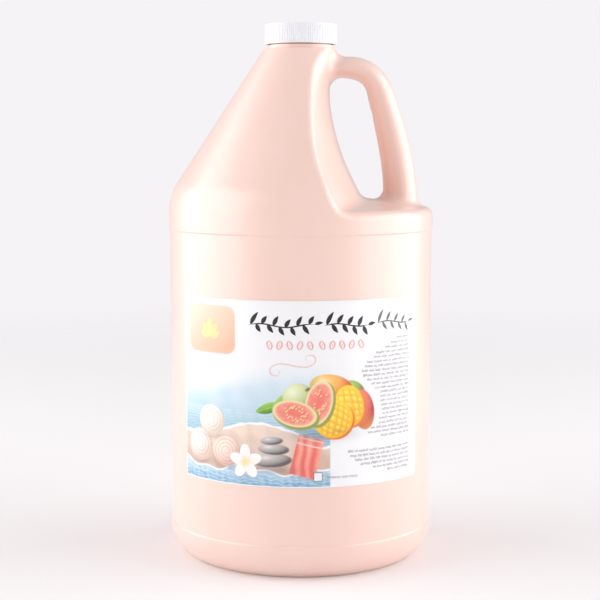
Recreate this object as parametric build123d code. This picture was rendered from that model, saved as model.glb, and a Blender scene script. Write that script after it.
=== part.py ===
from build123d import *

# A round one-gallon lotion jug: a blow-moulded body with a hollow handle, a lined screw cap, a front label
# and the lotion inside. Millimetres. Z runs up the jug's axis from the surface it stands on, the handle is
# on +X and the label faces -Y.

import os
from math import atan, cos, radians, sin, tan

# Body shell
BODY_RADIUS = 76.2  # the rolls above and below the label panel
PANEL_RECESS = 0.6
PANEL_DROP = 19.5  # from the shoulder's corner down to the top of the label panel
STEP_HEIGHT = 0.9  # bevel between a roll and the panel
HEEL_HEIGHT = 18.0
ROLL_LAND = 0.9  # straight part of the lower roll
WALL = 1.0
FOOT_INSET = 10.7  # from the body's side in to the ring that the jug stands on
FOOT_WIDTH = 5.0
PUSH_UP = 5.0  # how far the middle of the base is raised
PUSH_UP_SLOPE = 9.0  # width of the slope from the ring to the raised middle
CONE_TOP_Z = 290.9
CONE_TOP_RIM = 2.0  # flat rim round the collar
CONE_HALF_ANGLE = 33.35
SHOULDER_FILLET = 30.0

# Neck with a 38-400 thread finish
NECK_BORE = 31.0
NECK_WALL = 1.95
COLLAR_LEDGE = 0.85  # how far the collar stands out past the thread
COLLAR_HEIGHT = 2.1
FINISH_HEIGHT = 9.9  # from the collar to the sealing land
THREAD_DEPTH = 1.1
THREAD_PITCH = 25.4 / 6
THREAD_TURNS = 1.25
THREAD_ROOT_WIDTH = 2.2
THREAD_CREST_WIDTH = 1.1
THREAD_TOP_GAP = 1.7  # from the middle of the thread's top end to the sealing land
THREAD_SINK = 0.3  # how far a thread's flanks run on into its wall
THREAD_START_ANGLE = 33.0  # where the neck's thread begins, from +X

# Scoop behind the handle: (height over the ledge, how far its face stands out on the handle's plane, radius
# in plan). Heights here and in HANDLE start from where the sloping ledge would meet the jug's axis. They are
# for a cone that ends HANDLE_SPACE above that, and stretch with it.
HANDLE_SPACE = 79.6
SCOOP = [
    (85.6, 20.5, 30.0),
    (64.7, 17.4, 48.0),
    (44.7, 17.4, 88.0),
    (26.7, 21.5, 112.0),
    (8.7, 28.5, 138.0),
    (-13.3, 38.5, 162.0),
]
SCOOP_ARC = 58.0  # half angle of each arc in plan
LEDGE_DROP = 7.05  # from the shoulder's corner down to the outer edge of the ledge under the handle
LEDGE_SLOPE = 8.0
LEDGE_FILLET = 8.0
CREASE_FILLET = 5.0

# Handle: (x, height over the ledge, direction in degrees from +X, half width on its plane, half depth
# across it)
HANDLE = [
    (6.0, 70.2, 0, 6.3, 11.5),
    (28.6, 69.3, -5, 6.3, 11.5),
    (38.0, 66.3, -32, 6.6, 11.8),
    (45.4, 56.3, -73, 7.5, 12.0),
    (48.9, 45.2, -76, 8.1, 12.0),
    (53.0, 29.2, -77, 9.0, 12.2),
    (56.2, 12.2, -81, 9.5, 12.6),
    (57.8, -4.3, -85, 9.9, 13.2),
    (58.4, -17.3, -87, 10.0, 13.5),
]
HANDLE_ARM_SECTIONS = 5  # the first ones, which make the arm; the grip starts at the last of them
ARM_FILLET = 7.0
GRIP_FILLET = 6.0

# Screw cap and its liner
CAP_WALL = 1.5
CAP_NECK_GAP = 0.2  # all round, between the cap's bore and the neck's thread, and the reverse
RIB_COUNT = 120
RIB_DEPTH = 0.25
RIB_SLOPE = 0.25  # part of the pitch that each side of a rib takes
CAP_TOP_THICKNESS = 1.2
CAP_COLLAR_GAP = 0.8  # between the cap's lower edge and the collar
CAP_PLAIN_BAND = 0.7  # smooth band at each end of the ribs
CAP_TOP_FILLET = 0.5
CAP_THREAD_TURNS = 1.0
CAP_THREAD_ROOT_WIDTH = 1.9
CAP_THREAD_CREST_WIDTH = 0.8
CAP_THREAD_RISE = 1.3  # from the cap's lower edge to the middle of its thread's lower end
THREAD_FLANK_GAP = 0.25
LINER_THICKNESS = 1.0
LINER_RIM_GAP = 0.25

# Label and fill
LABEL_WIDTH = 152.4  # around the panel
LABEL_HEIGHT = 101.6
LABEL_LOWERED = 0.75  # how far its middle is below the panel's
LABEL_THICKNESS = 0.12
LABEL_GLUE = 0.12
LABEL_CORNER = 2.0
HEADSPACE = 54.7  # from the cone's top down to the lotion
FILL_GAP = 0.2

# What follows from the sizes above
PANEL_RADIUS = BODY_RADIUS - PANEL_RECESS
FOOT_RADIUS = BODY_RADIUS - FOOT_INSET
THREAD_ROOT_RADIUS = NECK_BORE / 2 + NECK_WALL
THREAD_CREST_RADIUS = THREAD_ROOT_RADIUS + THREAD_DEPTH
COLLAR_RADIUS = THREAD_CREST_RADIUS + COLLAR_LEDGE
CONE_TOP_RADIUS = COLLAR_RADIUS + CONE_TOP_RIM
SHOULDER_Z = CONE_TOP_Z - (BODY_RADIUS - CONE_TOP_RADIUS) / tan(radians(CONE_HALF_ANGLE))
PANEL_BOTTOM = HEEL_HEIGHT + ROLL_LAND + STEP_HEIGHT
PANEL_TOP = SHOULDER_Z - PANEL_DROP
LEDGE_AXIS_Z = SHOULDER_Z - LEDGE_DROP + BODY_RADIUS * tan(radians(LEDGE_SLOPE))
HANDLE_STRETCH = (CONE_TOP_Z - LEDGE_AXIS_Z) / HANDLE_SPACE
COLLAR_TOP = CONE_TOP_Z + COLLAR_HEIGHT
NECK_TOP = COLLAR_TOP + FINISH_HEIGHT
NECK_THREAD_START = NECK_TOP - THREAD_TOP_GAP - THREAD_TURNS * THREAD_PITCH
CAP_BORE_RADIUS = THREAD_CREST_RADIUS + CAP_NECK_GAP
CAP_RADIUS = CAP_BORE_RADIUS + CAP_WALL + RIB_DEPTH
CAP_BOTTOM = COLLAR_TOP + CAP_COLLAR_GAP
CAP_TOP = NECK_TOP + LINER_THICKNESS + CAP_TOP_THICKNESS
LABEL_MIDDLE = (PANEL_BOTTOM + PANEL_TOP) / 2 - LABEL_LOWERED
FAR = 2 * BODY_RADIUS  # well outside the jug
SURFACE_TOLERANCE = 0.02
EDGE_SAMPLES = (0.2, 0.5, 0.8)  # shares of an edge's length at which its place is tested


def on_surface(edge, shape):
    """Whether an edge lies on the faces of a shape."""
    points = [edge.position_at(share) for share in EDGE_SAMPLES]
    return all(min(face.distance_to(point) for face in shape.faces()) < SURFACE_TOLERANCE for point in points)


def meeting_edges(solid, first, second):
    """The solid's edges where the surfaces of two shapes meet."""
    return [edge for edge in solid.edges() if on_surface(edge, first) and on_surface(edge, second)]


def barrel(inset):
    """The round body up to the collar, all its walls moved in by inset."""
    foot_inner = FOOT_RADIUS - FOOT_WIDTH
    heel_radius = (FOOT_INSET**2 + HEEL_HEIGHT**2) / (2 * FOOT_INSET)
    half_turn = atan(HEEL_HEIGHT / (heel_radius - FOOT_INSET)) / 2
    heel_middle = (
        BODY_RADIUS - heel_radius * (1 - cos(half_turn)),
        HEEL_HEIGHT - heel_radius * sin(half_turn),
    )
    base = Polyline((0, PUSH_UP), (foot_inner - PUSH_UP_SLOPE, PUSH_UP), (foot_inner, 0), (FOOT_RADIUS, 0))
    heel = ThreePointArc((FOOT_RADIUS, 0), heel_middle, (BODY_RADIUS, HEEL_HEIGHT))
    side = Polyline(
        (BODY_RADIUS, HEEL_HEIGHT),
        (BODY_RADIUS, PANEL_BOTTOM - STEP_HEIGHT),
        (PANEL_RADIUS, PANEL_BOTTOM),
        (PANEL_RADIUS, PANEL_TOP),
        (BODY_RADIUS, PANEL_TOP + STEP_HEIGHT),
        (BODY_RADIUS, SHOULDER_Z),
        (CONE_TOP_RADIUS, CONE_TOP_Z),
        (0, CONE_TOP_Z),
        (0, PUSH_UP),
    )
    half = make_face([base, heel, side])
    shoulder = half.vertices().sort_by_distance(Vector(BODY_RADIUS, SHOULDER_Z))[0]
    half = fillet(shoulder, SHOULDER_FILLET)
    if inset:
        whole = half + mirror(half, about=Plane.YZ)
        right = Rectangle(FAR, 2 * CONE_TOP_Z, align=(Align.MIN, Align.CENTER))
        half = offset(whole, amount=-inset, kind=Kind.INTERSECTION) & right
    return revolve(Plane.XZ * half, Axis.Z)


def scoop_keep(inset):
    """What the scoop leaves of the body: everything behind its face."""
    sections = []
    for height, face_x, plan_radius in SCOOP:
        middle = face_x - inset
        radius = plan_radius - inset
        x = middle - radius * (1 - cos(radians(SCOOP_ARC)))
        y = radius * sin(radians(SCOOP_ARC))
        face_arc = ThreePointArc((x, -y), (middle, 0), (x, y))
        back = Polyline((x, y), (-FAR, y), (-FAR, -y), (x, -y))
        sections.append(Plane.XY.offset(LEDGE_AXIS_Z + height * HANDLE_STRETCH) * make_face([face_arc, back]))
    return loft(sections)


def above_ledge(inset):
    """The space over the sloping ledge that the handle stands on."""
    ledge_z = LEDGE_AXIS_Z - inset / cos(radians(LEDGE_SLOPE))
    top = COLLAR_TOP
    outer_z = ledge_z - FAR * tan(radians(LEDGE_SLOPE))
    outline = make_face(Polyline((0, ledge_z), (FAR, outer_z), (FAR, top), (0, top), close=True))
    return revolve(Plane.XZ * outline, Axis.Z)


def handle_tube(rows, inset):
    """A stretch of the oval handle, through the given sections."""
    sections = []
    for x, height, direction, half_width, half_depth in rows:
        turn = radians(direction)
        middle = (x, 0, LEDGE_AXIS_Z + height * HANDLE_STRETCH)
        plane = Plane(middle, x_dir=(-sin(turn), 0, cos(turn)), z_dir=(cos(turn), 0, sin(turn)))
        sections.append(plane * Ellipse(half_width - inset, half_depth - inset))
    return loft(sections)


def jug_form(inset):
    """The jug's whole form below its collar, with all its walls moved in by inset."""
    body = barrel(inset)
    keep = scoop_keep(inset)
    above = above_ledge(inset)
    form = ((body - above) + (body & above & keep)).solid()
    form = form.fillet(LEDGE_FILLET + inset, meeting_edges(form, keep, above))
    rim_z = CONE_TOP_Z - inset
    own_heights = [edge.center().Z for edge in body.edges() if edge.geom_type == GeomType.CIRCLE]
    creases = []
    for edge in form.edges():
        middle = edge.position_at(0.5)
        is_own = any(abs(middle.Z - z) < SURFACE_TOLERANCE for z in own_heights)
        is_own = is_own or edge.geom_type == GeomType.LINE or middle.X < 0
        if middle.Z < rim_z and not is_own and on_surface(edge, body):
            creases.append(edge)
    form = form.fillet(CREASE_FILLET - inset, creases)
    arm = handle_tube(HANDLE[:HANDLE_ARM_SECTIONS], inset)
    grip = handle_tube(HANDLE[HANDLE_ARM_SECTIONS - 1 :], inset)
    with_arm = (form + arm).solid()
    with_arm = with_arm.fillet(ARM_FILLET, meeting_edges(with_arm, form, arm))
    whole = (with_arm + grip).solid()
    roots = [edge for edge in meeting_edges(whole, form, grip) if edge.position_at(0.5).Z < LEDGE_AXIS_Z]
    return whole.fillet(GRIP_FILLET + inset, roots)


def thread_ridge(root_radius, crest_radius, root_width, crest_width, start_z, start_angle, turns):
    """A right-hand thread ridge whose flanks run on into the wall that carries it."""
    flank = (root_width - crest_width) / 2 / abs(crest_radius - root_radius)
    outward = 1 if crest_radius > root_radius else -1
    sunk_radius = root_radius - outward * THREAD_SINK
    sunk_half = root_width / 2 + flank * THREAD_SINK
    section = Polyline(
        (sunk_radius, -sunk_half),
        (crest_radius, -crest_width / 2),
        (crest_radius, crest_width / 2),
        (sunk_radius, sunk_half),
        close=True,
    )
    path = Helix(pitch=THREAD_PITCH, height=turns * THREAD_PITCH, radius=root_radius)
    ridge = sweep(Plane.XZ * make_face(section), path=path, is_frenet=True)
    return Pos(0, 0, start_z) * Rot(0, 0, start_angle) * ridge


def upright(radius, bottom, top):
    """A cylinder on the jug's axis between two heights."""
    return Pos(0, 0, bottom) * Cylinder(radius, top - bottom, align=(Align.CENTER, Align.CENTER, Align.MIN))


def jug_body():
    """The blow-moulded shell with its hollow handle and threaded neck."""
    neck = upright(THREAD_ROOT_RADIUS, CONE_TOP_Z - WALL / 2, NECK_TOP) + thread_ridge(
        THREAD_ROOT_RADIUS,
        THREAD_CREST_RADIUS,
        THREAD_ROOT_WIDTH,
        THREAD_CREST_WIDTH,
        NECK_THREAD_START,
        THREAD_START_ANGLE,
        THREAD_TURNS,
    )
    neck += upright(COLLAR_RADIUS, CONE_TOP_Z - WALL / 2, COLLAR_TOP)
    neck -= upright(NECK_BORE / 2, CONE_TOP_Z - WALL, NECK_TOP)
    shell = jug_form(0) - jug_form(WALL) - upright(NECK_BORE / 2, CONE_TOP_Z - 2 * WALL, CONE_TOP_Z)
    return shell + neck


def ribbed_outline(radius):
    """A round outline with fine upright ribs."""
    points = []
    for rib in range(RIB_COUNT):
        for share, depth in ((0, RIB_DEPTH), (RIB_SLOPE, 0), (1 - RIB_SLOPE, 0)):
            points.append(Vector(radius - depth, 0).rotate(Axis.Z, 360 * (rib + share) / RIB_COUNT))
    return make_face(Polyline(*points, close=True))


def screw_cap():
    """The ribbed screw cap, open below, with its inside thread."""
    shell = upright(CAP_RADIUS - RIB_DEPTH, CAP_BOTTOM, CAP_TOP)
    shell = fillet(shell.edges().group_by(Axis.Z)[-1], CAP_TOP_FILLET)
    rib_height = CAP_TOP - CAP_BOTTOM - 2 * CAP_PLAIN_BAND
    shell += Pos(0, 0, CAP_BOTTOM + CAP_PLAIN_BAND) * extrude(ribbed_outline(CAP_RADIUS), rib_height)
    shell -= upright(CAP_BORE_RADIUS, CAP_BOTTOM, CAP_TOP - CAP_TOP_THICKNESS)
    flank = (THREAD_ROOT_WIDTH - THREAD_CREST_WIDTH) / 2 / THREAD_DEPTH
    crest = THREAD_ROOT_RADIUS + CAP_NECK_GAP
    neck_half = THREAD_ROOT_WIDTH / 2 - flank * CAP_NECK_GAP
    drop = neck_half + CAP_THREAD_CREST_WIDTH / 2 + THREAD_FLANK_GAP
    start_z = CAP_BOTTOM + CAP_THREAD_RISE
    start_angle = THREAD_START_ANGLE + 360 * (start_z + drop - NECK_THREAD_START) / THREAD_PITCH
    return shell + thread_ridge(
        CAP_BORE_RADIUS,
        crest,
        CAP_THREAD_ROOT_WIDTH,
        CAP_THREAD_CREST_WIDTH,
        start_z,
        start_angle,
        CAP_THREAD_TURNS,
    )


def cap_liner():
    """The round sealing disc between the cap's top and the neck."""
    return upright(CAP_BORE_RADIUS - LINER_RIM_GAP, NECK_TOP, NECK_TOP + LINER_THICKNESS)


def front_label():
    """The printed sheet round the front of the label panel."""
    inner = PANEL_RADIUS + LABEL_GLUE
    ring = Cylinder(inner + LABEL_THICKNESS, LABEL_HEIGHT) - Cylinder(inner, LABEL_HEIGHT)
    half_angle = LABEL_WIDTH / 2 / inner
    reach = (FAR * sin(half_angle), -FAR * cos(half_angle))
    wedge = make_face(Polyline((0, 0), (-reach[0], reach[1]), reach, close=True))
    sheet = ring & extrude(wedge, LABEL_HEIGHT / 2, both=True)
    corners = [edge for edge in sheet.edges().filter_by(GeomType.LINE) if edge.length < 2 * LABEL_THICKNESS]
    sheet = fillet(corners, LABEL_CORNER)
    return Pos(0, 0, LABEL_MIDDLE) * sheet


def lotion_fill():
    """The lotion, up to its fill level in the body and the handle."""
    below = upright(FAR, 0, CONE_TOP_Z - HEADSPACE)
    return jug_form(WALL + FILL_GAP) & below


if __name__ == "__main__":
    os.makedirs("parts", exist_ok=True)
    for make in (screw_cap, cap_liner, front_label, lotion_fill, jug_body):
        piece = make()
        print(make.__name__, len(piece.solids()), round(piece.volume), piece.is_valid)
        export_step(piece, f"parts/{make.__name__}.step")
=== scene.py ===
import random
from math import asin, atan2, cos, pi, radians, sin, tau

import bpy
import numpy as np
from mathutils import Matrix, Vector


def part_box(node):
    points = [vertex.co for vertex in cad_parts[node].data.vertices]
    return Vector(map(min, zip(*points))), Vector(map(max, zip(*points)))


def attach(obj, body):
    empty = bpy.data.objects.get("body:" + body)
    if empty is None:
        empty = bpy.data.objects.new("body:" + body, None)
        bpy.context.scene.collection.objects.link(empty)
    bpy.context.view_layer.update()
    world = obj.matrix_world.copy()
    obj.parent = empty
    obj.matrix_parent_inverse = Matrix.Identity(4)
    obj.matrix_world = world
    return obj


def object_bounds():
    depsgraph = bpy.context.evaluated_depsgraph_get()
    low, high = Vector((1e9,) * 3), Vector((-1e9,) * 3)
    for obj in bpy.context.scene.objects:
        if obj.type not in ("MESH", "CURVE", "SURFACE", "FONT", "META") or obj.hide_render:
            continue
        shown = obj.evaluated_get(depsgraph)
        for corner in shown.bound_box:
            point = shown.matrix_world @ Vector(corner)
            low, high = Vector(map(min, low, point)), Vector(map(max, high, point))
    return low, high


# A one-gallon lotion jug on a pale studio floor. Metres, in the CAD frame; the label's art is laid out in
# millimetres on its flat sheet, u to the right of its middle and v up from its lower edge.

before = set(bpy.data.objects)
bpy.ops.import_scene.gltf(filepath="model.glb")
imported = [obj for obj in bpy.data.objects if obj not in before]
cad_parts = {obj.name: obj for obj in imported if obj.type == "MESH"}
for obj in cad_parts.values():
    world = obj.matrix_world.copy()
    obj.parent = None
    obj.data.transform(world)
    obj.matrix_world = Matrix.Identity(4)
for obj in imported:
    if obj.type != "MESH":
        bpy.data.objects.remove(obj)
cad_low, cad_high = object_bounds()

MM = 0.001

# Camera
CAMERA_DISTANCE = 0.8661
CAMERA_HEIGHT = 0.2386
CAMERA_SIDE = -0.0005
CAMERA_PITCH = 6.07  # degrees down
CAMERA_LENS = 89.5
SENSOR_WIDTH = 36.0

# Studio
BACKDROP = (0.913, 0.896, 0.913)
SURROUND_LIGHT = 0.62  # how much of the backdrop's brightness reaches the object
SIDE_LIGHT_AZIMUTH = 85.0  # degrees from the camera's side of the object
SIDE_LIGHT_DISTANCE = 1.55
SIDE_LIGHT_HEIGHT = 0.5
SIDE_LIGHT_SIZE = (2.3, 2.0)
SIDE_LIGHT_WATTS = 36.0
FLOOR_RADIUS = 1.5
FLOOR_RINGS = 24
FLOOR_SPOKES = 96
FLOOR_FADE_START = 0.30
FLOOR_COLOUR = (0.90, 0.885, 0.89)

# Print
PRINT_LIFT = 0.05  # each layer of ink over the one below, mm
PRINT_MARGIN = 0.6
FINE_CELL = 0.36
COARSE_CELL = 0.8
SOFT_EDGE = 0.45  # width over which a painted edge blends, mm
PICTURE_SEED = 7
SPRIG_SEED = 4
TICK_SEED = 11

# Where things are on the label's sheet, mm
PICTURE_RIGHT = 15.9  # right edge of the beach
FRUIT_RIGHT, FRUIT_TOP = 43.0, 63.0  # the picture's fine grid reaches this far
EMBLEM_MIDDLE = (-54.4, 84.6)
EMBLEM_HALF_WIDTH = 17.4
EMBLEM_CORNER = 5.5
EMBLEM_LESS_HEIGHT = 4.2  # how much less its half height is than its half width
SPRIG_HEIGHT = 88.2
SPRIG_WAVE = 0.9
SPRIG_WAVELENGTH = 4.4  # for one radian
LEAF_SPACING = 3.3
PETAL_FOOT = 75.0
PETAL_LENGTH = 5.2
PETAL_SPACING = 5.5
SCROLL_MIDDLE = (-4.5, 66.8)
SCROLL_REACH = 27.0  # length of stroke from its middle to each end
LINE_TOP = 79.0
LINE_SPACING = 2.42
LINE_COUNT = 31
LINE_RIGHT = 68.5
LINE_GAP = (19.5, 23.5)  # no lines between these heights
BOX_LEFT, BOX_BOTTOM, BOX_RIGHT, BOX_TOP = 7.0, 3.7, 11.6, 8.3


def linear(red, green, blue):
    """A colour given in display values 0 to 255, as a linear one."""
    shown = np.array((red, green, blue), dtype=float) / 255
    return np.where(shown <= 0.04045, shown / 12.92, ((shown + 0.055) / 1.055) ** 2.4)


# ---------------------------------------------------------------- camera, lights and floor


def add_camera():
    """The camera, level across and looking slightly down at the jug."""
    lens = bpy.data.cameras.new("camera")
    lens.lens = CAMERA_LENS
    lens.sensor_width = SENSOR_WIDTH
    camera = bpy.data.objects.new("camera", lens)
    camera.location = (CAMERA_SIDE, -CAMERA_DISTANCE, CAMERA_HEIGHT)
    camera.rotation_euler = (radians(90 - CAMERA_PITCH), 0, 0)
    bpy.context.scene.collection.objects.link(camera)
    bpy.context.scene.camera = camera


def add_world():
    """An even pale surround, a little dimmer as a light than as a backdrop."""
    world = bpy.data.worlds.new("studio")
    world.use_nodes = True
    nodes = world.node_tree.nodes
    links = world.node_tree.links
    nodes.clear()
    seen = nodes.new("ShaderNodeBackground")
    seen.inputs["Color"].default_value = (*BACKDROP, 1)
    cast = nodes.new("ShaderNodeBackground")
    cast.inputs["Color"].default_value = (*BACKDROP, 1)
    cast.inputs["Strength"].default_value = SURROUND_LIGHT
    path = nodes.new("ShaderNodeLightPath")
    mix = nodes.new("ShaderNodeMixShader")
    output = nodes.new("ShaderNodeOutputWorld")
    links.new(path.outputs["Is Camera Ray"], mix.inputs["Fac"])
    links.new(cast.outputs[0], mix.inputs[1])
    links.new(seen.outputs[0], mix.inputs[2])
    links.new(mix.outputs[0], output.inputs["Surface"])
    bpy.context.scene.world = world
    bpy.context.scene.view_settings.view_transform = "Standard"


def add_area_light(name, location, target, size, watts):
    """A soft rectangular light that the camera doesn't see."""
    light = bpy.data.lights.new(name, "AREA")
    light.shape = "RECTANGLE"
    light.size, light.size_y = size
    light.energy = watts
    lamp = bpy.data.objects.new(name, light)
    lamp.location = location
    lamp.rotation_euler = (Vector(target) - Vector(location)).to_track_quat("-Z", "Y").to_euler()
    lamp.visible_camera = False
    bpy.context.scene.collection.objects.link(lamp)


def add_lights(height):
    """A wide soft light on each side of the object."""
    turn = radians(SIDE_LIGHT_AZIMUTH)
    for name, side in (("light_left", -1), ("light_right", 1)):
        place = (
            side * SIDE_LIGHT_DISTANCE * sin(turn),
            -SIDE_LIGHT_DISTANCE * cos(turn),
            SIDE_LIGHT_HEIGHT,
        )
        add_area_light(name, place, (0, 0, height / 2), SIDE_LIGHT_SIZE, SIDE_LIGHT_WATTS)


def add_floor():
    """A pale round floor that fades into the backdrop."""
    rings, spokes = FLOOR_RINGS, FLOOR_SPOKES
    vertices = [(0, 0, 0)]
    faces = []
    for ring in range(1, rings + 1):
        radius = FLOOR_RADIUS * ring / rings
        for spoke in range(spokes):
            angle = tau * spoke / spokes
            vertices.append((radius * cos(angle), radius * sin(angle), 0))
    for spoke in range(spokes):
        after = (spoke + 1) % spokes
        faces.append((0, 1 + spoke, 1 + after))
        for ring in range(rings - 1):
            inner = 1 + ring * spokes
            outer = inner + spokes
            faces.append((inner + spoke, outer + spoke, outer + after, inner + after))
    mesh = bpy.data.meshes.new("floor")
    mesh.from_pydata(vertices, [], faces)
    floor = bpy.data.objects.new("floor", mesh)
    bpy.context.scene.collection.objects.link(floor)
    material = bpy.data.materials.new("floor")
    material.use_nodes = True
    nodes = material.node_tree.nodes
    links = material.node_tree.links
    surface = nodes["Principled BSDF"]
    surface.inputs["Base Color"].default_value = (*FLOOR_COLOUR, 1)
    surface.inputs["Roughness"].default_value = 0.6
    surface.inputs["Specular IOR Level"].default_value = 0.2
    clear = nodes.new("ShaderNodeBsdfTransparent")
    place = nodes.new("ShaderNodeTexCoord")
    length = nodes.new("ShaderNodeVectorMath")
    length.operation = "LENGTH"
    fade = nodes.new("ShaderNodeMapRange")
    fade.interpolation_type = "SMOOTHERSTEP"
    fade.inputs["From Min"].default_value = FLOOR_FADE_START
    fade.inputs["From Max"].default_value = FLOOR_RADIUS
    mix = nodes.new("ShaderNodeMixShader")
    links.new(place.outputs["Object"], length.inputs[0])
    links.new(length.outputs["Value"], fade.inputs["Value"])
    links.new(fade.outputs["Result"], mix.inputs["Fac"])
    links.new(surface.outputs[0], mix.inputs[1])
    links.new(clear.outputs[0], mix.inputs[2])
    links.new(mix.outputs[0], nodes["Material Output"].inputs["Surface"])
    mesh.materials.append(material)


# ---------------------------------------------------------------- materials


class Plastic:
    """A node material: a principled surface with noise-driven colour, roughness and bump."""

    def __init__(self, name, roughness, specular=0.5):
        self.material = bpy.data.materials.new(name)
        self.material.use_nodes = True
        self.nodes = self.material.node_tree.nodes
        self.links = self.material.node_tree.links
        self.surface = self.nodes["Principled BSDF"]
        self.surface.inputs["Roughness"].default_value = roughness
        self.surface.inputs["Specular IOR Level"].default_value = specular
        self.place = self.nodes.new("ShaderNodeTexCoord").outputs["Object"]
        self.height = None

    def noise(self, scale, detail=2.0, stretch=(1, 1, 1)):
        """A noise of the given number of cells per metre, from 0 to 1."""
        mapping = self.nodes.new("ShaderNodeMapping")
        mapping.inputs["Scale"].default_value = stretch
        noise = self.nodes.new("ShaderNodeTexNoise")
        noise.inputs["Scale"].default_value = scale
        noise.inputs["Detail"].default_value = detail
        self.links.new(self.place, mapping.inputs["Vector"])
        self.links.new(mapping.outputs[0], noise.inputs["Vector"])
        return noise.outputs["Fac"]

    def spread(self, value, low, high, start=0.3, end=0.7):
        """A value between two limits, as a source goes from start to end."""
        spread = self.nodes.new("ShaderNodeMapRange")
        spread.inputs["From Min"].default_value = start
        spread.inputs["From Max"].default_value = end
        spread.inputs["To Min"].default_value = low
        spread.inputs["To Max"].default_value = high
        self.links.new(value, spread.inputs["Value"])
        return spread.outputs["Result"]

    def mix(self, factor, first, second, blend="MIX"):
        """Two colours, each a value or a socket, mixed by a socket."""
        mix = self.nodes.new("ShaderNodeMix")
        mix.data_type = "RGBA"
        mix.blend_type = blend
        if isinstance(factor, float):
            mix.inputs[0].default_value = factor
        else:
            self.links.new(factor, mix.inputs[0])
        for socket, colour in ((mix.inputs[6], first), (mix.inputs[7], second)):
            if isinstance(colour, bpy.types.NodeSocket):
                self.links.new(colour, socket)
            else:
                socket.default_value = (*colour, 1)
        return mix.outputs[2]

    def colour(self, socket):
        self.links.new(socket, self.surface.inputs["Base Color"])

    def roughness(self, socket):
        self.links.new(socket, self.surface.inputs["Roughness"])

    def bump(self, socket, depth):
        """Relief of the given depth in metres, over what is there already."""
        bump = self.nodes.new("ShaderNodeBump")
        bump.inputs["Strength"].default_value = 1.0
        bump.inputs["Distance"].default_value = depth
        self.links.new(socket, bump.inputs["Height"])
        if self.height:
            self.links.new(self.height, bump.inputs["Normal"])
        self.height = bump.outputs["Normal"]
        self.links.new(self.height, self.surface.inputs["Normal"])


def jug_plastic():
    """Satin natural HDPE over peach lotion, with faint streaks from blow moulding."""
    skin = Plastic("jug_plastic", 0.36)
    skin.surface.inputs["Coat Weight"].default_value = 0.9
    skin.surface.inputs["Coat Roughness"].default_value = 0.3
    clouds = skin.noise(14, 3)
    streaks = skin.noise(90, 2, (1, 1, 0.06))
    pale = (0.885, 0.638, 0.562)
    deep = (0.865, 0.598, 0.518)
    base = skin.mix(skin.spread(clouds, 0, 1), pale, deep)
    skin.colour(skin.mix(skin.spread(streaks, 0, 0.35), base, (0.90, 0.663, 0.590)))
    skin.roughness(skin.spread(skin.noise(260, 3), 0.31, 0.43))
    skin.bump(streaks, 0.00006)
    skin.bump(skin.noise(900, 2), 0.000012)
    return skin.material


def cap_plastic():
    """Satin white polypropylene with a fine moulded grain."""
    skin = Plastic("cap_plastic", 0.38)
    clouds = skin.noise(60, 2)
    skin.colour(skin.mix(skin.spread(clouds, 0, 1), (0.86, 0.865, 0.885), (0.83, 0.835, 0.86)))
    skin.roughness(skin.spread(skin.noise(700, 2), 0.33, 0.46))
    skin.bump(skin.noise(1800, 2), 0.000012)
    return skin.material


def liner_foam():
    """Off-white closed-cell foam."""
    skin = Plastic("liner_foam", 0.75, 0.3)
    cells = skin.noise(1600, 3)
    skin.colour(skin.mix(skin.spread(cells, 0, 1), (0.80, 0.79, 0.75), (0.72, 0.71, 0.66)))
    skin.bump(cells, 0.00006)
    return skin.material


def lotion():
    """Thick peach lotion with a soft wet shine."""
    skin = Plastic("lotion", 0.24)
    swirls = skin.noise(40, 4)
    skin.colour(skin.mix(skin.spread(swirls, 0, 1), (0.90, 0.68, 0.58), (0.86, 0.60, 0.49)))
    skin.bump(swirls, 0.0006)
    return skin.material


def label_film():
    """Blank white label film."""
    skin = Plastic("label_film", 0.34)
    grain = skin.noise(1200, 2)
    skin.colour(skin.mix(skin.spread(grain, 0, 1), (0.875, 0.875, 0.88), (0.85, 0.85, 0.855)))
    skin.roughness(skin.spread(skin.noise(180, 2), 0.30, 0.40))
    skin.bump(grain, 0.000006)
    return skin.material


def label_picture():
    """Printed film: the ink's colour comes from the mesh, its grain from noise."""
    skin = Plastic("label_picture", 0.34)
    ink = skin.nodes.new("ShaderNodeAttribute")
    ink.attribute_name = "ink"
    grain = skin.noise(2600, 2)
    shade = skin.mix(skin.spread(grain, 0, 1), (1, 1, 1), (0.965, 0.965, 0.965))
    skin.colour(skin.mix(1.0, ink.outputs["Color"], shade, "MULTIPLY"))
    skin.roughness(skin.spread(skin.noise(180, 2), 0.30, 0.40))
    skin.bump(skin.noise(1200, 2), 0.000006)
    return skin.material


def label_ink(name, colour, faded):
    """A solid ink that varies a little in density."""
    skin = Plastic(name, 0.32)
    density = skin.noise(1500, 2)
    skin.colour(skin.mix(skin.spread(density, 0, 1), colour, faded))
    skin.roughness(skin.spread(density, 0.27, 0.40))
    skin.bump(density, 0.000004)
    return skin.material


# ---------------------------------------------------------------- the label's sheet


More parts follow.
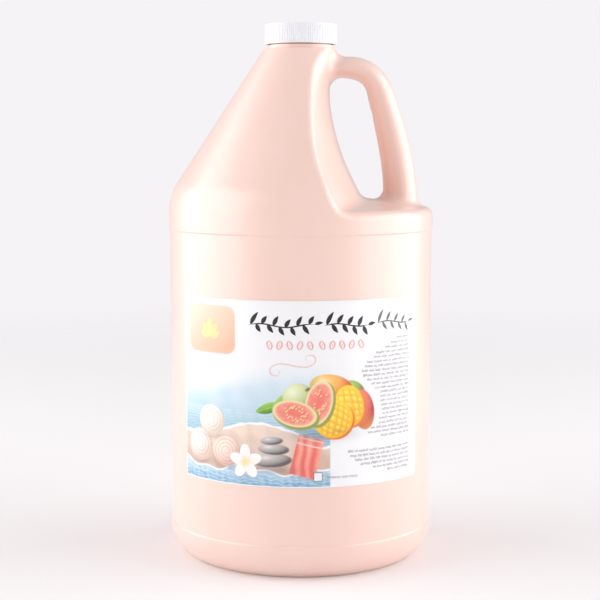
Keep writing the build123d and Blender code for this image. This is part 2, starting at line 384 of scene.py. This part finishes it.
class Sheet:
    """The label's sheet, bent round the jug."""

    def __init__(self):
        low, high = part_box("front_label")
        self.radius = -low.y / MM
        self.bottom = low.z / MM
        self.height = (high.z - low.z) / MM
        self.half_width = asin(high.x / -low.y) * self.radius

    def point(self, u, v, layer):
        """Where a place on the sheet is, on the given layer of ink."""
        radius = self.radius + PRINT_LIFT * layer
        turn = u / self.radius
        return (radius * sin(turn) * MM, -radius * cos(turn) * MM, (self.bottom + v) * MM)

    def piece(self, name, corners, faces, layer, material):
        """A piece of print from corners on the sheet and faces that join them."""
        mesh = bpy.data.meshes.new(name)
        mesh.from_pydata([self.point(u, v, layer) for u, v in corners], [], faces)
        mesh.materials.append(material)
        for polygon in mesh.polygons:
            polygon.use_smooth = True
        piece = bpy.data.objects.new(name, mesh)
        bpy.context.scene.collection.objects.link(piece)
        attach(piece, "jug")
        return piece


# ---------------------------------------------------------------- the label's picture


class Painting:
    """Ink colours at a grid of places on the sheet, laid on from back to front."""

    def __init__(self, u, v):
        self.u, self.v = np.meshgrid(u, v, indexing="ij")
        self.ink = np.empty(self.u.shape + (3,))
        self.ink[:] = linear(242, 242, 244)
        self.random = np.random.default_rng(PICTURE_SEED)
        self.waves = [
            (self.random.uniform(0, tau), self.random.uniform(0, tau), self.random.uniform(0.6, 1.5))
            for _ in range(9)
        ]

    def ripple(self, size):
        """A smooth random field from -1 to 1 with features about size millimetres across."""
        total = np.zeros(self.u.shape)
        for turn, phase, pitch in self.waves:
            along = self.u * cos(turn) + self.v * sin(turn)
            total += np.sin(along * tau * pitch / (2 * size) + phase)
        return np.clip(total / 4, -1, 1)

    def below(self, level):
        """How far each place is under a height, as a soft cover from 0 to 1."""
        return np.clip((level - self.v) / SOFT_EDGE + 0.5, 0, 1)

    def left_of(self, place):
        return np.clip((place - self.u) / SOFT_EDGE + 0.5, 0, 1)

    def lay(self, colour, cover):
        """Lays a colour, one or one for each place, as thick as cover says."""
        thick = np.clip(cover, 0, 1)[..., None]
        self.ink = self.ink * (1 - thick) + colour * thick

    def grade(self, low, high, share):
        """A colour for each place between two colours."""
        share = np.clip(share, 0, 1)[..., None]
        return low * (1 - share) + high * share

    def oval(self, middle, radii, turn=0.0, soft=SOFT_EDGE):
        """Places across and along an oval, their distance from its middle, and its cover."""
        du = self.u - middle[0]
        dv = self.v - middle[1]
        lean = radians(turn)
        across = (du * cos(lean) + dv * sin(lean)) / radii[0]
        along = (dv * cos(lean) - du * sin(lean)) / radii[1]
        reach = np.hypot(across, along)
        cover = np.clip((1 - reach) * min(radii) / soft + 0.5, 0, 1)
        return across, along, reach, cover

    def round(self, middle, radii, dark, light, turn=0.0, shine=0.35):
        """A round thing lit from the upper left."""
        across, along, reach, cover = self.oval(middle, radii, turn)
        lean = radians(turn)
        right = across * cos(lean) - along * sin(lean)
        up = across * sin(lean) + along * cos(lean)
        depth = np.sqrt(np.clip(1 - reach**2, 0, 1))
        lit = np.clip(-0.45 * right + 0.6 * up + 0.66 * depth, 0, 1)
        colour = self.grade(dark, light, lit**0.8)
        glint = np.exp(-((right + 0.35) ** 2 + (up - 0.4) ** 2) * 14)
        self.lay(colour, cover)
        self.lay(linear(255, 255, 255), cover * glint * shine)
        return across, along, reach, cover

    def shade(self, middle, radii, depth, turn=0.0):
        """A soft shadow."""
        reach = self.oval(middle, radii, turn)[2]
        self.lay(linear(90, 90, 100), depth * np.exp(-2.2 * reach**2))


def paint_beach(art, right):
    """Sky, sea, sand and the water's edge, fading out at the top."""
    edge = art.left_of(right)
    fade = np.clip((64 + 6 * np.sin((art.u + 40) / 26) - art.v) / 12, 0, 1) ** 1.3
    sky = art.grade(linear(186, 213, 228), linear(226, 236, 243), (art.v - 40) / 22 + 0.12 * art.ripple(9))
    art.lay(sky, edge * fade)
    sea = art.grade(linear(150, 190, 208), linear(196, 220, 231), (art.v - 30) / 12 + 0.1 * art.ripple(3))
    art.lay(sea, edge * art.below(41.5))
    glints = np.clip(np.sin(art.v * 4.2 + 1.5 * art.ripple(5)) - 0.72, 0, 1) * 2.2
    art.lay(linear(236, 246, 250), edge * art.below(40.8) * glints * 0.7)
    crest = 25 + 9 * np.exp(-(((art.u + 24) / 26) ** 2)) - 5 * np.exp(-(((art.u - 12) / 9) ** 2))
    sand = art.grade(linear(206, 172, 158), linear(240, 219, 203), (art.v - 6) / 26 + 0.22 * art.ripple(6))
    art.lay(linear(244, 250, 252), edge * art.below(crest + 1.3 + 0.5 * art.ripple(4)))
    art.lay(sand, edge * art.below(crest + 0.4 * art.ripple(5)))
    speckle = art.random.uniform(-1, 1, art.u.shape)
    art.lay(linear(186, 150, 136), edge * art.below(crest) * np.clip(speckle - 0.55, 0, 1) * 0.5)
    shore = 8.5 + 1.6 * np.sin(art.u / 7) + 1.1 * np.sin(art.u / 3.1 + 1)
    water = art.grade(linear(120, 170, 204), linear(192, 217, 233), art.v / 9 + 0.25 * art.ripple(2.4))
    art.lay(linear(250, 252, 253), edge * art.below(shore + 0.9))
    art.lay(water, edge * art.below(shore))
    foam = np.clip(np.sin(art.v * 3.1 + art.u * 0.35 + 2.4 * art.ripple(4)) - 0.7, 0, 1) * 2
    art.lay(linear(248, 252, 253), edge * art.below(shore - 0.6) * foam * 0.8)


def paint_rolled_towel(art, middle, radius, dark, light):
    """The end of a rolled towel, with its spiral."""
    art.shade((middle[0] + 1.5, middle[1] - radius * 0.9), (radius * 1.2, 3), 0.35)
    across, along, reach, cover = art.round(middle, (radius, radius * 0.94), dark, light, shine=0.0)
    winding = reach * 4.2 - np.arctan2(along, across) / tau
    gap = np.clip(np.cos(winding * tau) * 1.6 - 0.75, 0, 1)
    art.lay(dark * 0.72, cover * gap * 0.8 * np.clip(reach * 4, 0, 1))
    pile = art.random.uniform(0, 1, art.u.shape)
    art.lay(light, cover * pile * 0.25)


def paint_flower(art, middle, size, turn):
    """A five-petalled white flower with a yellow heart."""
    art.shade((middle[0] + 1, middle[1] - 1.5), (size * 1.5, size * 1.3), 0.35)
    for petal in range(5):
        lean = turn + 72 * petal
        place = (
            middle[0] + size * 0.62 * cos(radians(lean)),
            middle[1] + size * 0.62 * sin(radians(lean)),
        )
        across, along, reach, cover = art.oval(place, (size * 0.66, size * 0.40), lean)
        tint = art.grade(linear(255, 226, 214), linear(255, 253, 250), reach * 0.5 + along * 0.35 + 0.5)
        art.lay(linear(206, 180, 176), art.oval(place, (size * 0.70, size * 0.44), lean)[3] * 0.45)
        art.lay(tint, cover)
        art.lay(linear(253, 214, 120), cover * np.clip(-across - 0.25, 0, 1) * 1.3)


def paint_stones(art, middle, widths):
    """Smooth flat stones in a stack."""
    u, v = middle
    art.shade((u + 2, v - 1.5), (widths[0] * 1.2, 3.2), 0.45)
    for row, width in enumerate(widths):
        half_height = width * 0.34
        v += half_height
        place = (u + (0.6 if row % 2 else -0.4), v)
        lean = 3.0 - 4 * (row % 2)
        art.round(place, (width, half_height), linear(104, 96, 98), linear(206, 198, 196), lean, 0.45)
        v += half_height * 0.86


def paint_cloth(art, middle, radii, dark, light):
    """A soft folded cloth standing on its end."""
    across, along = art.oval(middle, radii, -14)[:2]
    box = np.clip((1 - np.maximum(abs(across), abs(along)) ** 3) * 6, 0, 1)
    folds = 0.5 + 0.5 * np.sin(across * 8 + 1.2 * along + art.ripple(9))
    art.shade((middle[0] + 3, middle[1] - radii[1] * 0.9), (radii[0] * 1.5, 4), 0.4)
    art.lay(art.grade(dark, light, folds * 0.75 + along * 0.2), box)
    stripes = np.clip(np.cos((along - 0.55) * 22) - 0.5, 0, 1) * (along > 0.3) * 1.2
    art.lay(linear(255, 240, 234), box * stripes)


def paint_leaf(art, middle, radii, turn, dark, light):
    """A pointed leaf with a pale midrib and side veins."""
    across, along = art.oval(middle, radii, turn)[:2]
    blade = np.clip(1 - across**2, 0, 1) ** 0.9
    cover = np.clip((blade - abs(along)) * radii[1] / SOFT_EDGE + 0.5, 0, 1) * (abs(across) < 1.05)
    veins = np.clip(np.cos((across * 9 + abs(along) * 4)) - 0.6, 0, 1)
    art.lay(art.grade(dark, light, 0.5 + 0.6 * along + 0.15 * across), cover)
    art.lay(light * 1.15, cover * (np.exp(-((along / 0.09) ** 2)) * 0.7 + veins * 0.35))


def paint_cut_fruit(art, middle, radii, turn, core_seeds):
    """Half a pink fruit: a green skin, pale rind, pink flesh and a ring of seeds."""
    across, along, reach, cover = art.oval(middle, radii, turn)
    skin = art.oval((middle[0] + 0.8, middle[1] - 1.0), (radii[0] + 0.7, radii[1] + 0.6), turn)
    art.lay(linear(158, 160, 84), skin[3])
    art.lay(linear(240, 226, 176), cover)
    flesh = np.clip((0.93 - reach) * min(radii) / 0.9, 0, 1)
    ripeness = 1.25 - reach * 1.2 + 0.2 * art.ripple(3)
    art.lay(art.grade(linear(252, 172, 150), linear(238, 112, 104), ripeness), flesh)
    heart = np.exp(-((reach / 0.62) ** 4))
    art.lay(linear(246, 138, 122), heart * 0.55)
    streak = np.clip(np.sin(np.arctan2(along, across) * 14 + 3 * reach) - 0.4, 0, 1)
    art.lay(linear(255, 196, 172), flesh * streak * (1 - heart) * 0.45)
    lean = radians(turn)
    for _ in range(core_seeds):
        angle = art.random.uniform(0, tau)
        away = art.random.uniform(0.30, 0.60)
        p = away * cos(angle) * radii[0]
        q = away * sin(angle) * radii[1]
        place = (middle[0] + p * cos(lean) - q * sin(lean), middle[1] + p * sin(lean) + q * cos(lean))
        art.lay(linear(206, 66, 66), art.oval((place[0] + 0.15, place[1] - 0.2), (0.75, 0.55), 40)[3] * 0.7)
        art.lay(linear(255, 222, 170), art.oval(place, (0.6, 0.42), 40)[3])


def paint_cubed_fruit(art, middle, radii, turn, pitch):
    """A half of yellow fruit, scored into cubes and turned out."""
    across, along, reach, cover = art.oval(middle, radii, turn)
    art.lay(linear(226, 120, 48), art.oval((middle[0] + 1.1, middle[1] - 0.9), radii, turn)[3])
    art.lay(art.grade(linear(240, 158, 24), linear(255, 214, 64), 0.75 + 0.35 * along - 0.25 * across), cover)
    bulge = 1 + 0.35 * reach**2
    cell_u = across * radii[0] / pitch * bulge
    cell_v = along * radii[1] / pitch * bulge + 0.3 * cell_u
    from_u = abs(cell_u - np.round(cell_u))
    from_v = abs(cell_v - np.round(cell_v))
    score = np.clip((np.maximum(from_u, from_v) - 0.39) * 12, 0, 1)
    top = np.clip(1 - 2.3 * np.hypot(cell_u - np.round(cell_u) + 0.1, cell_v - np.round(cell_v) - 0.12), 0, 1)
    inside = np.clip((0.94 - reach) * 8, 0, 1)
    art.lay(linear(255, 238, 128), inside * top * 0.85)
    art.lay(linear(228, 150, 24), inside * score * 0.55)


def paint_fruit(art):
    """The pile of fruit in the middle of the label."""
    art.shade((11, 29), (27, 5), 0.42)
    paint_leaf(art, (-17.5, 43.4), (7.8, 2.9), 18, linear(84, 140, 46), linear(160, 204, 92))
    paint_leaf(art, (-11.0, 46.8), (6.4, 2.6), 48, linear(96, 150, 52), linear(176, 212, 106))
    green = art.round((29.0, 52.4), (7.4, 5.2), linear(58, 118, 48), linear(176, 206, 104), -28, 0.5)
    art.lay(linear(196, 84, 62), green[3] * np.clip(green[0] * 1.4 - 0.3, 0, 1) * 0.8)
    art.round((34.8, 41.8), (7.0, 11.4), linear(178, 44, 52), linear(248, 134, 110), 14, 0.45)
    red = art.oval((34.8, 41.8), (7.0, 11.4), 14)
    art.lay(linear(250, 176, 96), red[3] * np.clip(-red[1] * 1.1 - 0.2, 0, 1) * 0.6)
    whole = art.round((16.8, 54.4), (12.2, 7.2), linear(214, 70, 44), linear(255, 206, 112), -12, 0.5)
    art.lay(linear(226, 78, 56), whole[3] * np.clip(whole[0] * 1.2 - 0.35, 0, 1) * 0.75)
    art.lay(linear(150, 190, 90), whole[3] * np.clip(-whole[0] * 1.3 - 0.75, 0, 1) * 0.8)
    art.round((-1.4, 48.8), (8.7, 8.3), linear(142, 158, 84), linear(234, 238, 190), 10, 0.4)
    art.lay(linear(120, 104, 62), art.oval((3.6, 53.8), (1.5, 0.9), 30)[3] * 0.85)
    paint_cubed_fruit(art, (26.8, 44.2), (8.6, 11.4), 12, 4.4)
    paint_cubed_fruit(art, (17.6, 37.6), (11.2, 10.6), -10, 4.0)
    paint_cut_fruit(art, (9.8, 46.4), (7.4, 12.2), -14, 26)
    paint_cut_fruit(art, (-3.4, 40.6), (12.2, 7.0), -12, 30)
    art.shade((21, 30.5), (9, 1.8), 0.25)


def paint_emblem(art):
    """A peach square with rounded corners and a pale open flower."""
    middle = EMBLEM_MIDDLE
    straight = EMBLEM_HALF_WIDTH - EMBLEM_CORNER
    du = abs(art.u - middle[0]) - straight
    dv = abs(art.v - middle[1]) - (straight - EMBLEM_LESS_HEIGHT)
    outside = np.hypot(np.maximum(du, 0), np.maximum(dv, 0))
    away = outside + np.minimum(np.maximum(du, dv), 0) - EMBLEM_CORNER
    cover = np.clip(0.5 - away / SOFT_EDGE, 0, 1)
    wash = art.grade(linear(246, 186, 158), linear(250, 214, 192), (art.v - 70) / 28 - (art.u + 54) / 60)
    art.lay(wash, cover)
    for turn, length in ((-64, 8.0), (64, 8.0), (-32, 10.0), (32, 10.0), (0, 11.5)):
        lean = radians(90 + turn)
        place = (middle[0] + length * 0.5 * cos(lean), middle[1] - 4.8 + length * 0.5 * sin(lean))
        across, along = art.oval(place, (length * 0.5, 2.3), 90 + turn)[:2]
        petal = np.clip((1 - across**2 - abs(along)) * 2.3 / SOFT_EDGE + 0.5, 0, 1)
        art.lay(linear(252, 226, 160), petal * 0.8)
        art.lay(linear(244, 196, 130), np.clip(petal * (1 - petal) * 4, 0, 1) * 0.6)


def paint_label(sheet):
    """The picture side of the label: the ink's colour at every corner of a fine grid."""
    left = -sheet.half_width + PRINT_MARGIN
    top = sheet.height - PRINT_MARGIN
    u = np.concatenate((
        np.arange(left, FRUIT_RIGHT, FINE_CELL),
        np.linspace(FRUIT_RIGHT, -left, int((-left - FRUIT_RIGHT) / COARSE_CELL)),
    ))
    v = np.concatenate((
        np.arange(PRINT_MARGIN, FRUIT_TOP, FINE_CELL),
        np.linspace(FRUIT_TOP, top, int((top - FRUIT_TOP) / (COARSE_CELL * 0.6))),
    ))
    art = Painting(u, v)
    paint_beach(art, PICTURE_RIGHT)
    paint_rolled_towel(art, (-62.5, 19.5), 9.6, linear(214, 186, 172), linear(255, 247, 240))
    paint_rolled_towel(art, (-43.0, 18.0), 9.0, linear(216, 172, 158), linear(255, 232, 220))
    paint_rolled_towel(art, (-53.4, 34.0), 9.2, linear(220, 198, 180), linear(255, 250, 242))
    paint_cloth(art, (3.2, 17.0), (7.4, 11.5), linear(232, 112, 102), linear(255, 176, 158))
    paint_stones(art, (-15.5, 11.0), (11.0, 8.6, 6.2))
    paint_flower(art, (-31.0, 13.2), 7.6, 20)
    paint_fruit(art)
    paint_emblem(art)
    rows, columns = art.u.shape
    corners = list(zip(art.u.ravel().tolist(), art.v.ravel().tolist()))
    faces = [
        (i * columns + j, (i + 1) * columns + j, (i + 1) * columns + j + 1, i * columns + j + 1)
        for i in range(rows - 1)
        for j in range(columns - 1)
    ]
    piece = sheet.piece("label_picture", corners, faces, 1, label_picture())
    ink = piece.data.color_attributes.new("ink", "FLOAT_COLOR", "POINT")
    shades = np.ones((rows * columns, 4), dtype=np.float32)
    shades[:, :3] = art.ink.reshape(-1, 3)
    ink.data.foreach_set("color", shades.ravel())


# ---------------------------------------------------------------- the label's line work


class Strokes:
    """Flat strokes of ink that together make one piece."""

    def __init__(self):
        self.corners = []
        self.faces = []

    def polygon(self, points):
        """A convex patch of ink."""
        first = len(self.corners)
        self.corners.extend(points)
        self.faces.append(tuple(range(first, first + len(points))))

    def ribbon(self, path, widths):
        """A stroke along a path, with its width at each point."""
        first = len(self.corners)
        last = len(path) - 1
        for index, (u, v) in enumerate(path):
            before = path[max(index - 1, 0)]
            after = path[min(index + 1, last)]
            heading = atan2(after[1] - before[1], after[0] - before[0])
            half = widths[index] / 2
            self.corners.append((u - half * sin(heading), v + half * cos(heading)))
            self.corners.append((u + half * sin(heading), v - half * cos(heading)))
        for index in range(last):
            near = first + 2 * index
            self.faces.append((near, near + 1, near + 3, near + 2))

    def pen(self, path, thin, thick, nib=40.0):
        """A stroke of a broad pen: thick across the nib's angle and thin along it, pointed at its ends."""
        last = len(path) - 1
        widths = []
        for index in range(last + 1):
            before = path[max(index - 1, 0)]
            after = path[min(index + 1, last)]
            heading = atan2(after[1] - before[1], after[0] - before[0])
            taper = min(1.0, 6 * index / last, 6 * (last - index) / last)
            widths.append(max(0.08, (thin + (thick - thin) * abs(sin(heading - radians(nib)))) * taper))
        self.ribbon(path, widths)

    def add_to(self, sheet, name, layer, material):
        sheet.piece(name, self.corners, self.faces, layer, material)


def add_leaf_stroke(strokes, foot, length, width, lean, curl):
    """A brush leaf from its foot outwards, bending a little as it goes."""
    steps = 14
    path = [foot]
    widths = [0.15]
    for step in range(1, steps + 1):
        share = step / steps
        heading = radians(lean + curl * (share - 0.5))
        u, v = path[-1]
        path.append((u + cos(heading) * length / steps, v + sin(heading) * length / steps))
        widths.append(width * sin(pi * share**0.8) ** 0.9 + 0.05)
    strokes.ribbon(path, widths)


def add_title_sprigs(sheet):
    """Three black leafy sprigs across the top, in place of a title."""
    dark = Strokes()
    light = Strokes()
    chance = random.Random(SPRIG_SEED)
    sprigs = ((dark, -29.0, 7.5, 2.3), (dark, 12.5, 38.0, 2.3), (light, 43.0, 68.0, 1.7))
    for strokes, start, end, width in sprigs:
        stem = [
            (u, SPRIG_HEIGHT + SPRIG_WAVE * sin((u - start) / SPRIG_WAVELENGTH))
            for u in np.linspace(start, end, 60).tolist()
        ]
        strokes.pen(stem, 0.45, 0.8, -50)
        leaves = round((end - start) / LEAF_SPACING)
        for leaf in range(leaves):
            u = start + 1.4 + (end - start - 4.5) * leaf / (leaves - 1)
            v = SPRIG_HEIGHT + SPRIG_WAVE * sin((u - start) / SPRIG_WAVELENGTH)
            up = leaf % 2 == 0
            length = chance.uniform(5.0, 6.2) if leaf else 8.2
            lean = chance.uniform(56, 66) if up else chance.uniform(-66, -54)
            add_leaf_stroke(strokes, (u, v), length, width, lean, -26 if up else 26)
        add_leaf_stroke(strokes, stem[-1], 4.6, width * 0.8, 12, -20)
    black = label_ink("ink_black", (0.012, 0.011, 0.012), (0.028, 0.026, 0.027))
    dark.add_to(sheet, "label_sprigs", 2, black)
    grey = label_ink("ink_grey", (0.10, 0.09, 0.095), (0.16, 0.15, 0.155))
    light.add_to(sheet, "label_sprig_grey", 2, grey)


def add_subtitle_petals(sheet):
    """Two rows of small coral petals under the title, and a thin scroll."""
    marks = Strokes()
    for start, count in ((-17.0, 5), (11.5, 5)):
        for index in range(count):
            foot = start + PETAL_SPACING * index
            lean = 1.1 if index % 2 else -1.1
            for side in (-1, 1):
                path = []
                for step in range(13):
                    share = step / 12
                    u = foot + lean * (share - 0.5) + side * 1.35 * sin(pi * share)
                    path.append((u, PETAL_FOOT + PETAL_LENGTH * share))
                marks.pen(path, 0.4, 0.75, 0)
            marks.polygon([(foot - 0.35, 77.6), (foot, 77.1), (foot + 0.35, 77.6), (foot, 78.1)])
    coral = label_ink("ink_coral", (0.84, 0.34, 0.30), (0.88, 0.45, 0.40))
    marks.add_to(sheet, "label_petal_marks", 2, coral)
    scroll = Strokes()
    reach = SCROLL_REACH
    steps = 260
    u = v = 0.0
    half = [(u, v)]
    for step in range(steps):
        along = reach * (step + 0.5) / steps
        heading = -0.25 + 6.6 * (along / reach) ** 2.2
        u += cos(heading) * reach / steps
        v += sin(heading) * reach / steps
        half.append((u, v))
    middle_u, middle_v = SCROLL_MIDDLE
    path = [(middle_u - a, middle_v - 0.8 * b) for a, b in reversed(half)]
    path += [(middle_u + a, middle_v + 0.8 * b) for a, b in half[1:]]
    scroll.pen(path, 0.4, 0.7)
    scroll.add_to(sheet, "label_scroll", 2, label_ink("ink_rose", (0.84, 0.50, 0.47), (0.88, 0.60, 0.57)))


def add_small_lines(sheet):
    """Rows of fine upright ticks that stand in for small print, with a ragged left edge."""
    ticks = Strokes()
    chance = random.Random(TICK_SEED)
    edge_heights = (3.0, 6.0, 12.0, 19.0, 24.0, 28.0, 35.0, 41.0, 49.0, 62.0, 70.0, 79.0)
    edge_places = (57.0, 54.0, 30.0, 27.0, 52.0, 38.0, 46.0, 48.0, 46.0, 33.0, 41.0, 58.0)
    right = LINE_RIGHT
    for row in range(LINE_COUNT):
        v = LINE_TOP - LINE_SPACING * row
        if LINE_GAP[0] < v < LINE_GAP[1]:
            continue
        u = float(np.interp(v, edge_heights, edge_places)) + chance.uniform(-1.5, 1.5)
        while u < right:
            for _ in range(chance.randint(3, 9)):
                if u > right:
                    break
                tall = chance.choice((0.95, 0.95, 0.95, 1.4, 1.4))
                drop = chance.choice((0.0, 0.0, 0.0, 0.35))
                foot, head = v - drop, v + tall
                ticks.polygon([(u, foot), (u + 0.26, foot), (u + 0.4, head), (u + 0.14, head)])
                if chance.random() < 0.7:
                    bar = v + chance.choice((0.05, 0.42, 0.75))
                    ticks.polygon([(u, bar), (u + 0.62, bar), (u + 0.62, bar + 0.2), (u, bar + 0.2)])
                u += 0.66
            u += 0.62
    for u in np.arange(14.5, 31.5, 0.62):
        if chance.random() < 0.85:
            ticks.polygon([(u, 4.9), (u + 0.22, 4.9), (u + 0.32, 6.1), (u + 0.1, 6.1)])
    grey = label_ink("ink_small", (0.20, 0.18, 0.19), (0.32, 0.30, 0.31))
    ticks.add_to(sheet, "label_small_lines", 2, grey)


def add_tick_box(sheet):
    """A small empty square at the lower edge."""
    corners = [(BOX_LEFT, BOX_BOTTOM), (BOX_RIGHT, BOX_BOTTOM), (BOX_RIGHT, BOX_TOP), (BOX_LEFT, BOX_TOP)]
    paper = Strokes()
    paper.polygon(corners)
    paper.add_to(sheet, "label_box_white", 2, label_film())
    frame_lines = Strokes()
    for start, end in zip(corners, corners[1:] + corners[:1]):
        frame_lines.ribbon([start, end], [0.34, 0.34])
    grey = label_ink("ink_box", (0.17, 0.16, 0.17), (0.25, 0.24, 0.25))
    frame_lines.add_to(sheet, "label_box_frame", 3, grey)


def dress(node, material):
    """Gives a CAD node its material in every slot."""
    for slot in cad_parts[node].material_slots:
        slot.material = material


add_camera()
add_world()
add_lights(cad_high.z)
add_floor()
dress("jug_body", jug_plastic())
dress("screw_cap", cap_plastic())
dress("cap_liner", liner_foam())
dress("lotion_fill", lotion())
dress("front_label", label_film())
label_sheet = Sheet()
paint_label(label_sheet)
add_title_sprigs(label_sheet)
add_subtitle_petals(label_sheet)
add_small_lines(label_sheet)
add_tick_box(label_sheet)
